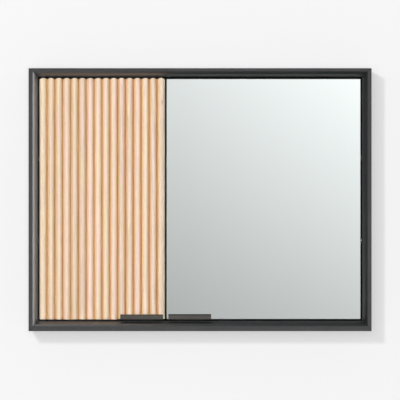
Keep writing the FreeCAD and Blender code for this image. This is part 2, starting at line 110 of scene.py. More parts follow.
class NodeTree:
    """Node tree of a material or the world, with a short call for each kind of node that is used."""

    def __init__(self, owner: bpy.types.Material | bpy.types.World) -> None:
        """Take the owner's node tree into use."""
        owner.use_nodes = True
        self.tree = owner.node_tree

    def feed(self, socket: Socket, value: Feed) -> None:
        """Link an input to an output, or set its value.

        Args:
            socket: Input to feed.
            value: Output socket, number, vector or colour.
        """
        if isinstance(value, bpy.types.NodeSocket):
            self.tree.links.new(value, socket)
        elif socket.type == "RGBA":
            socket.default_value = (*value, 1.0)
        else:
            socket.default_value = value

    def add(self, kind: str, *feeds: Feed, **named: Feed | str) -> bpy.types.Node:
        """Add a node.

        Args:
            kind: Blender's name of the node type, after its first two words.
            *feeds: What goes into its first inputs, in order.
            **named: Inputs, which start with a capital and have underscores for spaces, and properties.

        Returns:
            The new node.
        """
        node = self.tree.nodes.new("ShaderNode" + kind)
        for name, value in named.items():
            if name[0].isupper():
                self.feed(node.inputs[name.replace("_", " ")], value)
            else:
                setattr(node, name, value)
        for socket, value in zip(node.inputs, feeds):
            self.feed(socket, value)
        return node

    def math(self, operation: str, *terms: Feed) -> Socket:
        """One step of arithmetic on numbers."""
        return self.add("Math", *terms, operation=operation).outputs[0]

    def vector(self, operation: str, *terms: Feed) -> Socket:
        """One step of arithmetic on vectors, which gives a number for a length."""
        node = self.add("VectorMath", *terms, operation=operation)
        return node.outputs["Value" if operation == "LENGTH" else "Vector"]

    def parts(self, vector: Socket) -> list[Socket]:
        """The three parts of a vector."""
        return list(self.add("SeparateXYZ", vector).outputs)

    def ramp(self, value: Socket, ends: Span) -> Socket:
        """Straight line from 0 at a low value to 1 at a high one, level beyond them."""
        return self.add("MapRange", value, *ends, 0.0, 1.0).outputs[0]

    def span(self, value: Socket, ends: Span) -> Socket:
        """Number that goes from one end to the other as a value goes from 0 to 1."""
        return self.add("MapRange", value, 0.0, 1.0, *ends).outputs[0]

    def ease(self, value: Socket, ends: Span) -> Socket:
        """Smooth step from 0 at one value to 1 at another, which may be the lower one.

        Args:
            value: The value.
            ends: The two values between which the step lies.

        Returns:
            The step.
        """
        low, high = sorted(ends)
        first, last = (0.0, 1.0) if low == ends[0] else (1.0, 0.0)
        node = self.add("MapRange", value, low, high, first, last, interpolation_type="SMOOTHSTEP")
        return node.outputs[0]

    def blend(self, share: Feed, first: Feed, second: Feed) -> Socket:
        """Number between two others, by the share of the second."""
        return self.add("Mix", share, A=first, B=second).outputs[0]

    def mix(self, share: Feed, first: Feed, second: Feed, mode: str = "MIX") -> Socket:
        """Mix two colours.

        Args:
            share: Share of the second colour.
            first: First colour.
            second: Second colour.
            mode: Name of the blend mode.

        Returns:
            The mixed colour.
        """
        node = self.add("Mix", share, data_type="RGBA", blend_type=mode)
        self.feed(node.inputs[6], first)
        self.feed(node.inputs[7], second)
        return node.outputs[2]

    def shade(self, colour: Feed, value: Socket, ends: Span) -> Socket:
        """Colour times a number that goes from one end to the other as a value goes from 0 to 1."""
        return self.mix(1.0, colour, self.span(value, ends), "MULTIPLY")


class Recipe(NodeTree):
    """Node tree of one procedural material on a piece's Object coordinates."""

    def __init__(self, name: str) -> None:
        """Start the material with its shader and coordinates.

        Args:
            name: Name of the material.
        """
        self.material = bpy.data.materials.new(name)
        super().__init__(self.material)
        self.shader = self.tree.nodes["Principled BSDF"]
        self.place = self.add("TexCoord").outputs["Object"]

    def noise(self, count: float, layers: float = 3.0, strength: float = 0.55,
              where: Socket | None = None) -> Socket:
        """Noise from 0 to 1.

        Args:
            count: Features per metre, roughly.
            layers: Number of finer layers.
            strength: Strength of the finer layers.
            where: Coordinates, or none for the piece's own.

        Returns:
            The noise value.
        """
        spread = self.place if where is None else where
        node = self.add("TexNoise", Vector=spread, Scale=count, Detail=layers, Roughness=strength)
        return node.outputs[0]

    def streaks(self, where: Socket, count: float, stretch: float, layers: float = 3.0) -> Socket:
        """Noise drawn out along the third axis, so many times longer than wide."""
        return self.noise(count, layers, where=self.vector("MULTIPLY", where, (1.0, 1.0, 1.0 / stretch)))

    def cells(self, count: float, where: Socket | None = None) -> Socket:
        """Distance to the nearest of many scattered points, in cell widths."""
        spread = self.place if where is None else where
        return self.add("TexVoronoi", Vector=spread, Scale=count).outputs["Distance"]

    def attribute(self, name: str, output: str = "Fac") -> Socket:
        """One of the piece's own attributes, as a number or a vector."""
        return self.add("Attribute", attribute_name=name).outputs[output]

    def along(self, axis: GrainAxis) -> Socket:
        """Object coordinates turned so that their third part runs along the grain.

        Args:
            axis: Direction of the grain on the piece.

        Returns:
            The turned coordinates.
        """
        if axis is GrainAxis.UPRIGHT:
            return self.place
        x, y, z = self.parts(self.place)
        return self.add("CombineXYZ", z, y, x).outputs[0]

    def within(self, low: Point, high: Point) -> Socket:
        """Mask of a box in Object coordinates.

        Args:
            low: Lowest corner.
            high: Highest corner.

        Returns:
            1 inside the box and 0 outside it.
        """
        inside = 1.0
        for part, start, end in zip(self.parts(self.place), low, high):
            for held in (self.math("GREATER_THAN", part, start), self.math("LESS_THAN", part, end)):
                inside = self.math("MULTIPLY", inside, held)
        return inside

    def parted(self, mask: Socket, first: Layers, second: Layers) -> Layers:
        """Two surfaces on one piece.

        Args:
            mask: 0 where the first surface shows and 1 where the second does.
            first: First surface.
            second: Second surface, with relief if the first has any.

        Returns:
            The surface made of both.
        """
        colour = self.mix(mask, first.colour, second.colour)
        rough = self.blend(mask, first.rough, second.rough)
        if first.height is None:
            return Layers(colour, rough)
        return Layers(colour, rough, self.blend(mask, first.height, second.height))

    def coat(self, layers: Layers, depth: float = 0.0, **sockets: Feed) -> None:
        """Feed the shader a surface.

        Args:
            layers: The surface's colour, roughness and relief.
            depth: Depth of the relief in metres.
            **sockets: Other inputs of the shader, with underscores for spaces, and what goes into them.
        """
        fed = {"Base_Color": layers.colour, "Roughness": layers.rough, **sockets}
        if layers.height is not None:
            fed["Normal"] = self.add("Bump", Height=layers.height, Distance=depth).outputs[0]
        for name, value in fed.items():
            self.feed(self.shader.inputs[name.replace("_", " ")], value)


# Finishes, whose counts are per metre

@dataclass(frozen=True)
class Finish:
    """Base of the finishes: a name, and a recipe that each finish fills in its own way."""

    name: str

    @cache
    def material(self) -> bpy.types.Material:
        """Make the material, once for each finish.

        Returns:
            The finished material.
        """
        recipe = Recipe(self.name)
        self.fill(recipe)
        return recipe.material

    def fill(self, recipe: Recipe) -> None:
        """Add the finish's nodes to a recipe."""
        raise NotImplementedError


@dataclass(frozen=True)
class Timber:
    """Look of one kind of wood: growth rings about a pith line, fibres, bands and open pores."""

    pale: Colour
    late: Colour
    pore: Colour
    ring_pitch: float
    ring_strength: float
    pore_strength: float
    rough: Span = (0.36, 0.5)
    ring_drift: float = 6.0 * MM
    ring_rise: Span = (0.15, 0.85)
    ring_fall: Span = (1.0, 0.92)
    taper: float = 0.03
    drifts: float = 9.0
    bands: float = 240.0
    band_shade: Span = (0.86, 1.12)
    fibres: float = 1500.0
    fibre_shade: Span = (0.9, 1.1)
    pores: float = 2600.0
    pore_edge: Span = (0.6, 0.74)

    def lay(self, recipe: Recipe, where: Socket) -> Layers:
        """Add the wood's nodes.

        Args:
            recipe: Recipe to add to.
            where: Coordinates in metres, the third along the grain, the pith at zero in the others.

        Returns:
            The wood's colour, roughness and relief.
        """
        wander = recipe.streaks(where, self.drifts, stretch=8.0, layers=2.0)
        drift = recipe.span(wander, (-self.ring_drift, self.ring_drift))
        reach = recipe.vector("LENGTH", recipe.vector("MULTIPLY", where, (1.0, 1.0, self.taper)))
        radius = recipe.math("ADD", reach, drift)
        phase = recipe.math("FRACT", recipe.math("DIVIDE", radius, self.ring_pitch))
        grown = recipe.ease(phase, self.ring_rise)
        ring = recipe.math("MULTIPLY", grown, recipe.ease(phase, self.ring_fall))
        fibre = recipe.streaks(where, self.fibres, stretch=50.0, layers=4.0)
        band = recipe.streaks(where, self.bands, stretch=80.0)
        pore = recipe.ease(recipe.streaks(where, self.pores, stretch=34.0, layers=1.0), self.pore_edge)
        colour = recipe.mix(recipe.math("MULTIPLY", ring, self.ring_strength), self.pale, self.late)
        colour = recipe.shade(colour, band, self.band_shade)
        colour = recipe.shade(colour, fibre, self.fibre_shade)
        colour = recipe.mix(recipe.math("MULTIPLY", pore, self.pore_strength), colour, self.pore)
        rough = recipe.span(fibre, self.rough)
        return Layers(colour, rough, recipe.math("SUBTRACT", fibre, pore))


OAK = Timber(
    pale=(0.93, 0.745, 0.58),
    late=(0.80, 0.60, 0.42),
    pore=(0.50, 0.33, 0.20),
    ring_pitch=3.4 * MM,
    ring_strength=0.5,
    pore_strength=0.4,
)
BEECH = Timber(
    pale=(0.76, 0.56, 0.39),
    late=(0.66, 0.45, 0.29),
    pore=(0.45, 0.28, 0.17),
    ring_pitch=2.2 * MM,
    ring_strength=0.35,
    pore_strength=0.2,
)


@dataclass(frozen=True)
class SlatOak(Finish):
    """Oiled oak of the slats, each cut from its own place in the tree, with painted shade: warmer and darker
    down in the grooves.
    """

    pink: Colour = (1.03, 1.0, 1.15)
    honey: Colour = (0.985, 1.035, 0.95)
    own_tone: Span = (0.3, 0.7)
    own_shade: Span = (0.95, 1.04)
    tones: float = 170.0
    tone_swing: Span = (-1.3, 1.3)
    # Painted shade between slats: the warm dark colour that each slat turns to towards its grooves.
    groove: Colour = (0.84, 0.64, 0.385)
    groove_shade_ramp: Span = (0.05, 1.05)
    knot: Colour = (0.40, 0.25, 0.16)
    knot_strength: float = 0.7
    knots: float = 16.0
    knot_stretch: Point = (1.0, 1.0, 0.4)
    knot_edge: Span = (0.07, 0.02)
    relief: float = 0.12 * MM
    oil_index: float = 1.4

    def fill(self, recipe: Recipe) -> None:
        """Add the wood, the slat's own tone and shade, a few pin knots and the painted shade in the grooves.

        Args:
            recipe: Recipe to fill.
        """
        where = recipe.vector("ADD", recipe.place, recipe.attribute("cut", "Vector"))
        wood = OAK.lay(recipe, where)
        own = recipe.span(recipe.attribute("tone"), self.own_tone)
        streak = recipe.span(recipe.streaks(where, self.tones, stretch=22.0), self.tone_swing)
        tone = recipe.ease(recipe.math("ADD", own, streak), (0.0, 1.0))
        tint = recipe.mix(tone, self.pink, self.honey)
        colour = recipe.mix(1.0, wood.colour, tint, "MULTIPLY")
        colour = recipe.shade(colour, recipe.attribute("shade"), self.own_shade)
        spots = recipe.cells(self.knots, recipe.vector("MULTIPLY", where, self.knot_stretch))
        knot = recipe.math("MULTIPLY", recipe.ease(spots, self.knot_edge), self.knot_strength)
        colour = recipe.mix(knot, colour, self.knot)
        # Painted shade: towards each groove the colour turns warmer and darker.
        depth = recipe.ease(recipe.attribute("groove"), self.groove_shade_ramp)
        colour = recipe.mix(depth, colour, recipe.mix(1.0, colour, self.groove, "MULTIPLY"))
        recipe.coat(replace(wood, colour=colour), self.relief, IOR=self.oil_index)


@dataclass(frozen=True)
class BeechDowel(Finish):
    """Plain turned beech."""

    pith: Point = (0.1, 0.05, 0.0)
    relief: float = 0.05 * MM

    def fill(self, recipe: Recipe) -> None:
        """Add the wood."""
        recipe.coat(BEECH.lay(recipe, recipe.vector("ADD", recipe.place, self.pith)), self.relief)


@dataclass(frozen=True)
class Lacquer:
    """Sprayed satin lacquer: its colour, that of rubbed arrises, roughness and share of metal flake."""

    colour: Colour
    rubbed: Colour
    rough: Span
    flake: float = 0.0
    clouds: float = 11.0
    cloud_shade: Span = (0.88, 1.12)
    rubs: float = 60.0
    rub_edge: Span = (0.35, 0.7)
    marks: float = 26.0
    spray: float = 420.0

    def lay(self, recipe: Recipe) -> Layers:
        """Add the lacquer's nodes: clouded colour, rubbed arrises, handling marks and spray texture.

        Args:
            recipe: Recipe to add to.

        Returns:
            The lacquer's colour, roughness and relief.
        """
        colour = recipe.shade(self.colour, recipe.noise(self.clouds), self.cloud_shade)
        patchy = recipe.ease(recipe.noise(self.rubs, layers=4.0), self.rub_edge)
        rub = recipe.math("MULTIPLY", recipe.attribute("arris"), patchy)
        colour = recipe.mix(rub, colour, self.rubbed)
        mark = recipe.noise(self.marks, layers=5.0, strength=0.7)
        rough = recipe.span(mark, self.rough)
        return Layers(colour, rough, recipe.noise(self.spray, layers=2.0))


CHARCOAL = Lacquer(
    colour=(0.187, 0.19, 0.194),
    rubbed=(0.25, 0.25, 0.25),
    rough=(0.32, 0.46),
    flake=0.92,
)
# Near-black: painted shade, so that the door edges and the divider read black in the gaps.
GAP_SHADE_BLACK = Lacquer(
    colour=(0.0042, 0.0041, 0.004),
    rubbed=(0.01, 0.0098, 0.0095),
    rough=(0.42, 0.6),
)


@dataclass(frozen=True)
class SprayedLacquer(Finish):
    """A lacquer all over a piece."""

    lacquer: Lacquer
    relief: float = 0.02 * MM

    def fill(self, recipe: Recipe) -> None:
        """Add the lacquer."""
        recipe.coat(self.lacquer.lay(recipe), self.relief, Metallic=self.lacquer.flake)


@dataclass(frozen=True)
class VeneeredBoard(Finish):
    """Oak veneered board, lacquered on every face outside a box that holds the veneered ones."""

    grain: GrainAxis
    low: Point
    high: Point
    lacquer: Lacquer
    pith: Point = (0.17, 0.2, 0.0)
    clouds: float = 7.0
    cloud_shade: Span = (0.8, 0.96)
    relief: float = 0.04 * MM

    def fill(self, recipe: Recipe) -> None:
        """Add both finishes, parted at the faces of the box.

        Args:
            recipe: Recipe to fill.
        """
        veneered = recipe.within(self.low, self.high)
        wood = OAK.lay(recipe, recipe.vector("ADD", recipe.along(self.grain), self.pith))
        colour = recipe.shade(wood.colour, recipe.noise(self.clouds, layers=2.0), self.cloud_shade)
        layers = recipe.parted(veneered, self.lacquer.lay(recipe), replace(wood, colour=colour))
        recipe.coat(layers, self.relief, Metallic=recipe.span(veneered, (self.lacquer.flake, 0.0)))


@dataclass(frozen=True)
class BackBoard(Finish):
    """Thin back panel: lacquered inside, bare pressed fibre with darker flecks towards the wall."""

    wall_face: float
    lacquer: Lacquer
    fibre: Colour = (0.36, 0.26, 0.17)
    fleck: Colour = (0.2, 0.135, 0.085)
    fleck_edge: Span = (0.45, 0.7)
    rough: Span = (0.62, 0.85)
    fibres: float = 900.0
    clouds: float = 5.0
    cloud_shade: Span = (0.82, 1.14)
    relief: float = 0.06 * MM

    def fill(self, recipe: Recipe) -> None:
        """Add lacquer and fibre, parted just in front of the wall face.

        Args:
            recipe: Recipe to fill.
        """
        bare = recipe.math("GREATER_THAN", recipe.parts(recipe.place)[1], self.wall_face - SKIN)
        mat = recipe.noise(self.fibres, layers=5.0, strength=0.75)
        colour = recipe.mix(recipe.ease(mat, self.fleck_edge), self.fibre, self.fleck)
        colour = recipe.shade(colour, recipe.noise(self.clouds, layers=2.0), self.cloud_shade)
        board = Layers(colour, recipe.span(mat, self.rough), mat)
        layers = recipe.parted(bare, self.lacquer.lay(recipe), board)
        recipe.coat(layers, self.relief, Metallic=recipe.span(bare, (self.lacquer.flake, 0.0)))


@dataclass(frozen=True)
class SilveredGlass(Finish):
    """Mirror: silvered face, ground pale arris and green edges."""

    face: float
    silver: Colour = (0.925, 0.978, 0.965)
    edge: Colour = (0.5, 0.64, 0.58)
    ground: Colour = (0.8, 0.88, 0.84)
    wipes: float = 14.0
    wipe_stretch: Point = (1.0, 1.0, 0.35)
    wipe_shade: Span = (0.985, 1.0)
    wipe_rough: Span = (0.0, 0.03)
    grit: float = 700.0
    scuffs: float = 300.0
    scuff_rough: Span = (0.3, 0.5)

    def fill(self, recipe: Recipe) -> None:
        """Add the silver on the front face, with faint wiping marks, and ground glass on the rest.

        Args:
            recipe: Recipe to fill.
        """
        silvered = recipe.math("LESS_THAN", recipe.parts(recipe.place)[1], self.face + SKIN)
        tall = recipe.vector("MULTIPLY", recipe.place, self.wipe_stretch)
        wipe = recipe.noise(self.wipes, layers=4.0, strength=0.6, where=tall)
        silver = recipe.shade(self.silver, wipe, self.wipe_shade)
        mirror = Layers(silver, recipe.span(wipe, self.wipe_rough))
        ground = recipe.mix(recipe.noise(self.grit), self.edge, self.ground)
        rim = Layers(ground, recipe.span(recipe.noise(self.scuffs), self.scuff_rough))
        recipe.coat(recipe.parted(silvered, rim, mirror), Metallic=silvered)


@dataclass(frozen=True)
class ShelfGlass(Finish):
    """Clear toughened glass, greener and a little frosted on its long edges."""

    front: float
    back: float
    clear: Colour = (0.93, 0.985, 0.96)
    edge: Colour = (0.42, 0.72, 0.6)
    edge_width: float = 0.6 * MM
    frost: float = 0.12
    smears: float = 30.0
    smear_stretch: Point = (0.4, 1.0, 1.0)
    smear_rough: Span = (0.0, 0.05)
    relief: float = 0.004 * MM

    def fill(self, recipe: Recipe) -> None:
        """Add the glass, its green edges and faint smears.

        Args:
            recipe: Recipe to fill.
        """
        y = recipe.parts(recipe.place)[1]
        near = recipe.math("LESS_THAN", y, self.front + self.edge_width)
        far = recipe.math("GREATER_THAN", y, self.back - self.edge_width)
        edge = recipe.math("MAXIMUM", near, far)
        long = recipe.vector("MULTIPLY", recipe.place, self.smear_stretch)
        smear = recipe.noise(self.smears, layers=4.0, strength=0.65, where=long)
        rough = recipe.math("MULTIPLY_ADD", edge, self.frost, recipe.span(smear, self.smear_rough))
        glass = Layers(recipe.mix(edge, self.clear, self.edge), rough, smear)
        recipe.coat(glass, self.relief, Transmission_Weight=1.0)


@dataclass(frozen=True)
class PowderCoat(Finish):
    """Fine textured powder coat on the pulls, with painted shade: darker in patches along the eased edges.
    """

    colour: Colour = (0.094, 0.088, 0.077)
    # Painted shade: the dark colour that the eased edges turn to in patches.
    thin: Colour = (0.018, 0.017, 0.015)
    rough: Span = (0.4, 0.56)
    grains: float = 2600.0
    clouds: float = 40.0
    cloud_shade: Span = (0.86, 1.14)
    edge_shade_spots: float = 120.0
    edge_shade_share: Span = (0.7, 1.0)
    edge_shade_ramp: Span = (0.0, 0.5)
    marks: float = 70.0
    relief: float = 0.03 * MM

    def fill(self, recipe: Recipe) -> None:
        """Add the coat's grainy relief, its clouded colour and the painted shade along its edges.

        Args:
            recipe: Recipe to fill.
        """
        colour = recipe.shade(self.colour, recipe.noise(self.clouds, layers=4.0), self.cloud_shade)
        patchy = recipe.span(recipe.noise(self.edge_shade_spots, layers=4.0), self.edge_shade_share)
        # Painted shade along the eased edges, in patches.
        edge = recipe.math("MULTIPLY", recipe.ease(recipe.attribute("arris"), self.edge_shade_ramp), patchy)
        colour = recipe.mix(edge, colour, self.thin)
        rough = recipe.span(recipe.noise(self.marks, layers=4.0), self.rough)
        recipe.coat(Layers(colour, rough, recipe.cells(self.grains)), self.relief)


@dataclass(frozen=True)
class BrushedMetal(Finish):
    """Bare or plated metal with fine brushing along X and cloudy handling marks."""

    colour: Colour
    rough: Span
    brushes: float = 5200.0
    brush_shade: Span = (0.9, 1.08)
    clouds: float = 90.0
    cloud_shade: Span = (0.82, 1.08)
    relief: float = 0.01 * MM

    def fill(self, recipe: Recipe) -> None:
        """Add the brushing, the clouded colour and the marks.

        Args:
            recipe: Recipe to fill.
        """
        brush = recipe.streaks(recipe.along(GrainAxis.ACROSS), self.brushes, stretch=60.0)
        colour = recipe.shade(self.colour, recipe.noise(self.clouds, layers=4.0), self.cloud_shade)
        colour = recipe.shade(colour, brush, self.brush_shade)
        metal = Layers(colour, recipe.span(brush, self.rough), brush)
        recipe.coat(metal, self.relief, Metallic=1.0)


@dataclass(frozen=True)
class MouldedPlastic(Finish):
    """Moulded plastic with a spark-eroded skin."""

    colour: Colour
    rough: Span = (0.42, 0.62)
    grains: float = 3200.0
    mottles: float = 160.0
    mottle_shade: Span = (0.86, 1.12)
    relief: float = 0.04 * MM

    def fill(self, recipe: Recipe) -> None:
        """Add the skin's grain and a slight mottle.

        Args:
            recipe: Recipe to fill.
        """
        grain = recipe.noise(self.grains, layers=3.0, strength=0.7)
        colour = recipe.shade(self.colour, recipe.noise(self.mottles), self.mottle_shade)
        recipe.coat(Layers(colour, recipe.span(grain, self.rough), grain), self.relief)


@dataclass(frozen=True)
class FoamTape(Finish):
    """Closed-cell foam bonding tape."""

    colour: Colour = (0.035, 0.035, 0.036)
    rough: Span = (0.75, 0.92)
    bubbles: float = 1800.0
    cell_shade: Span = (0.7, 1.4)
    relief: float = 0.15 * MM

    def fill(self, recipe: Recipe) -> None:
        """Add the foam's cells.

        Args:
            recipe: Recipe to fill.
        """
        cell = recipe.cells(self.bubbles)
        colour = recipe.shade(self.colour, cell, self.cell_shade)
        recipe.coat(Layers(colour, recipe.span(cell, self.rough), cell), self.relief)


SLAT_OAK = SlatOak("oiled_oak_slats")
DOWEL_BEECH = BeechDowel("beech_dowels")
FRAME_LACQUER = SprayedLacquer("charcoal_frame_lacquer", CHARCOAL)
RAIL_LACQUER = SprayedLacquer("charcoal_rail_lacquer", CHARCOAL)
BONDING_FOAM = FoamTape("bonding_foam")
PIN_NICKEL = BrushedMetal("nickel_pins", colour=(0.66, 0.63, 0.58), rough=(0.12, 0.26))
HINGE_STEEL = BrushedMetal("blackened_hinge_steel", colour=(0.05, 0.049, 0.048), rough=(0.3, 0.48))
SCREW_ZINC = BrushedMetal("zinc_screws", colour=(0.56, 0.56, 0.55), rough=(0.24, 0.42))
STRIKE_ZINC = BrushedMetal("zinc_strike_plates", colour=(0.6, 0.6, 0.6), rough=(0.2, 0.36))
MAGNET_PLATE = BrushedMetal("plated_magnets", colour=(0.34, 0.34, 0.35), rough=(0.22, 0.38))
CATCH_PLASTIC = MouldedPlastic("black_catch_plastic", colour=(0.03, 0.03, 0.031))
WASHER_NYLON = MouldedPlastic("black_nylon_washers", colour=(0.02, 0.02, 0.021))


@dataclass(frozen=True)
class StageSurface:
    """Pale one-sided surface of the stage: part glow, part soft reflection, so that shadows stay light."""

    name: str
    glow: float
    albedo: float

    def material(self) -> bpy.types.Material:
        """Make the surface, clear from behind.

        Returns:
            The material.
        """
        material = bpy.data.materials.new(self.name)
        surface = NodeTree(material)
        nodes = surface.tree.nodes
        nodes.remove(nodes["Principled BSDF"])
        glow = surface.add("Emission", Strength=self.glow)
        soft = surface.add("BsdfDiffuse", Color=(self.albedo,) * 3)
        pale = surface.add("AddShader", glow.outputs[0], soft.outputs[0])
        clear = surface.add("BsdfTransparent")
        back = surface.add("NewGeometry").outputs["Backfacing"]
        sides = surface.add("MixShader", back, pale.outputs[0], clear.outputs[0])
        surface.feed(nodes["Material Output"].inputs["Surface"], sides.outputs[0])
        return material


PALE_WALL = StageSurface("pale_wall", glow=0.516, albedo=0.75)
PALE_FLOOR = StageSurface("pale_floor", glow=0.8, albedo=0.2)


# Surfaces

@dataclass(frozen=True)
class Outline:
    """Closed profile as an array of points, with each point's share of a worn corner."""

    points: np.ndarray
    wear: np.ndarray

    def inset(self, distance: float) -> np.ndarray:
        """Points moved in along the profile's normal.

        The normal at a point is the chord between its neighbours, turned a quarter towards the inside.

        Args:
            distance: How far to move.

        Returns:
            The moved points.
        """
        after = np.roll(self.points, -1, axis=0)
        chord = after - np.roll(self.points, 1, axis=0)
        area = np.sum(self.points[:, 0] * after[:, 1] - after[:, 0] * self.points[:, 1])
        normal = np.sign(area) * np.stack([-chord[:, 1], chord[:, 0]], axis=1)
        return self.points + distance * normal / np.linalg.norm(normal, axis=1, keepdims=True)


def rounded_outline(corners: np.ndarray, radii: np.ndarray, steps: int) -> Outline:
    """Closed profile with each corner eased.

    A corner C becomes the curve (1 - s)^2 A + 2 s (1 - s) C + s^2 B for s from 0 to 1, where A and B lie
    at the corner's radius from C along its two edges. Wear is 4 s (1 - s), most in the middle of a corner.

    Args:
        corners: Corner points, one row each, in order round the profile.
        radii: Radius at each corner.
        steps: Points on each corner.

    Returns:
        The eased profile.
    """
    before = np.roll(corners, 1, axis=0) - corners
    after = np.roll(corners, -1, axis=0) - corners
    start = corners + radii[:, None] * before / np.linalg.norm(before, axis=1, keepdims=True)
    end = corners + radii[:, None] * after / np.linalg.norm(after, axis=1, keepdims=True)
    s = np.linspace(0.0, 1.0, steps)[None, :, None]
    curve = (1 - s) ** 2 * start[:, None] + 2 * s * (1 - s) * corners[:, None] + s**2 * end[:, None]
    wear = np.broadcast_to(4 * s * (1 - s), (len(corners), steps, 1))
    return Outline(curve.reshape(-1, 2), wear.reshape(-1))


def rounded_end(radius: float, steps: int) -> tuple[np.ndarray, np.ndarray]:
    """Rings of a bar's rounded end.

    At the angle a from 0 to a quarter turn, a ring lies r (1 - cos a) from the end, and its profile is
    drawn in by r (1 - sin a).

    Args:
        radius: Radius r of the rounding.
        steps: Number of rings.

    Returns:
        Each ring's distance from the end, and how far its profile is drawn in.
    """
    angle = np.linspace(0.0, math.pi / 2, steps)
    return radius * (1 - np.cos(angle)), radius * (1 - np.sin(angle))


def swept_mesh(name: str, rings: np.ndarray, attributes: dict[str, np.ndarray]) -> bpy.types.Mesh:
    """Closed bar through a row of rings.

    Point (i, j) is joined to its neighbours (i, j + 1) round the ring and (i + 1, j) along the bar by one
    quad each, and a flat face closes the first and the last ring.

    Args:
        name: Name of the mesh.
        rings: Points by ring, place on the ring, and X, Y or Z.
        attributes: Values at the points: one number or one vector for each.

    Returns:
        The mesh, smooth and with its faces outwards.
    """
    count, size = rings.shape[:2]
    index = np.arange(count * size).reshape(count, size)
    beside = np.roll(index, -1, axis=1)
    quads = np.stack([index[:-1], beside[:-1], beside[1:], index[1:]], axis=-1).reshape(-1, 4)
    caps = [index[0].tolist(), index[-1].tolist()]
    mesh = bpy.data.meshes.new(name)
    mesh.from_pydata(rings.reshape(-1, 3).tolist(), [], quads.tolist() + caps)
    shell = bmesh.new()
    shell.from_mesh(mesh)
    bmesh.ops.recalc_face_normals(shell, faces=shell.faces)
    shell.to_mesh(mesh)
    shell.free()
    for key, values in attributes.items():
        kind, field = ("FLOAT_VECTOR", "vector") if values.ndim > 1 else ("FLOAT", "value")
        mesh.attributes.new(key, kind, "POINT").data.foreach_set(field, values.astype(np.float32).ravel())
    mesh.polygons.foreach_set("use_smooth", np.ones(len(mesh.polygons), dtype=bool))
    mesh.set_sharp_from_angle(angle=SHARP_ANGLE)
    return mesh


def add_object(name: str, data: bpy.types.ID) -> bpy.types.Object:
    """Add an object to the scene.

    Args:
        name: Name of the object.
        data: Its mesh, lamp or camera.

    Returns:
        The object.
    """
    added = bpy.data.objects.new(name, data)
    bpy.context.scene.collection.objects.link(added)
    return added


# Sub-assemblies

@dataclass
class Assembly:
    """Base of the sub-assemblies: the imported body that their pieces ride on."""

    body: str

    def build(self) -> Pieces:
        """Build and dress every piece."""
        raise NotImplementedError

    def fit(self, mesh: bpy.types.Mesh, node: str, slot: str, finish: Finish) -> bpy.types.Object:
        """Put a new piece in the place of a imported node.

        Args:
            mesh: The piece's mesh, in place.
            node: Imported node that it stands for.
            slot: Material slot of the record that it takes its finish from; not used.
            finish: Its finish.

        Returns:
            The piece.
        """
        piece = add_object(mesh.name, mesh)
        mesh.materials.append(finish.material())
        evened = piece.modifiers.new("even_normals", "WEIGHTED_NORMAL")
        evened.keep_sharp = True
        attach(piece, self.body)
        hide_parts(node)
        return piece

    def dress(self, finish: Finish, *nodes: str) -> Pieces:
        """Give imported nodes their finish.

        Args:
            finish: The finish.
            *nodes: Names of the nodes.

        Returns:
            The dressed nodes.
        """
        dressed = [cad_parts[name] for name in nodes]
        for node in dressed:
            for slot in node.material_slots:
                slot.material = finish.material()
        return dressed


